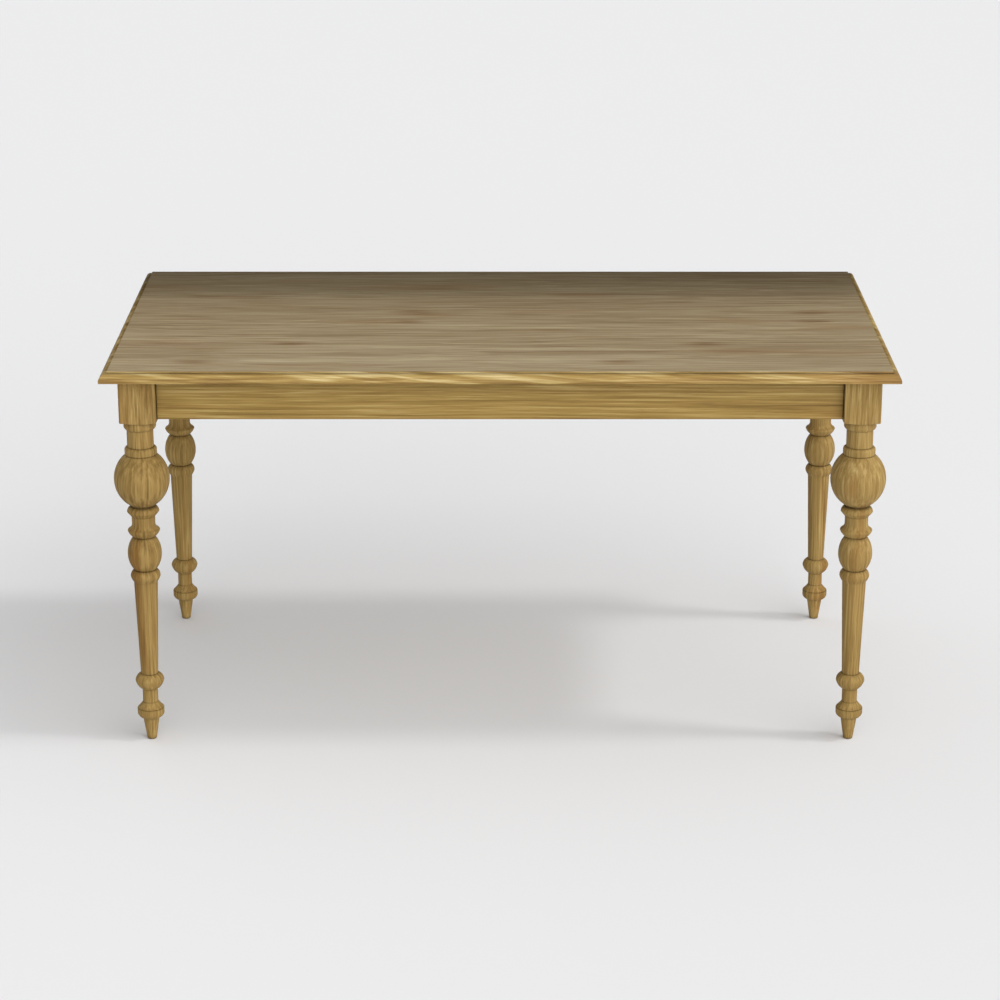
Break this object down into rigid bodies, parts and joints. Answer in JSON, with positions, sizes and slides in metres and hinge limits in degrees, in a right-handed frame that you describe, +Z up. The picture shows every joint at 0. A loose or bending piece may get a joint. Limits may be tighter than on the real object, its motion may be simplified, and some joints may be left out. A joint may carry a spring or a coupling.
{
  "type": "miniature dining table",
  "caption": "Dolls' house dining table: a rectangular moulded top on an apron frame with bulbous turned legs that end in tapered peg feet.",
  "frame": {"origin": "on the floor, under the centre of the top", "axes": "+X along the length to the right, +Y to the back, +Z up"},
  "size_m": [0.125, 0.0666, 0.0635],
  "materials": {
    "top_wood": "satin varnish over figured softwood, grain along the length",
    "leg_wood": "satin varnish, grain upright",
    "apron_wood": "satin varnish, grain along each board",
    "brace_wood": "bare planed wood",
    "dowel_wood": "bare wood dowel"
  },
  "bodies": {
    "root": {"tabletop": "top_wood", "leg_front_left": "leg_wood", "leg_front_right": "leg_wood", "leg_back_right": "leg_wood", "leg_back_left": "leg_wood", "apron_front": "apron_wood", "apron_back": "apron_wood", "apron_left": "apron_wood", "apron_right": "apron_wood", "corner_brace_front_left": "brace_wood", "corner_brace_front_right": "brace_wood", "corner_brace_back_right": "brace_wood", "corner_brace_back_left": "brace_wood", "dowel_front_left_long_lower": "dowel_wood", "dowel_front_left_long_upper": "dowel_wood", "dowel_front_left_short_lower": "dowel_wood", "dowel_front_left_short_upper": "dowel_wood", "dowel_front_right_long_lower": "dowel_wood", "dowel_front_right_long_upper": "dowel_wood", "dowel_front_right_short_lower": "dowel_wood", "dowel_front_right_short_upper": "dowel_wood", "dowel_back_right_long_lower": "dowel_wood", "dowel_back_right_long_upper": "dowel_wood", "dowel_back_right_short_lower": "dowel_wood", "dowel_back_right_short_upper": "dowel_wood", "dowel_back_left_long_lower": "dowel_wood", "dowel_back_left_long_upper": "dowel_wood", "dowel_back_left_short_lower": "dowel_wood", "dowel_back_left_short_upper": "dowel_wood", "top_peg_front_left": "dowel_wood", "top_peg_front_right": "dowel_wood", "top_peg_back_right": "dowel_wood", "top_peg_back_left": "dowel_wood"}
  },
  "joints": []
}
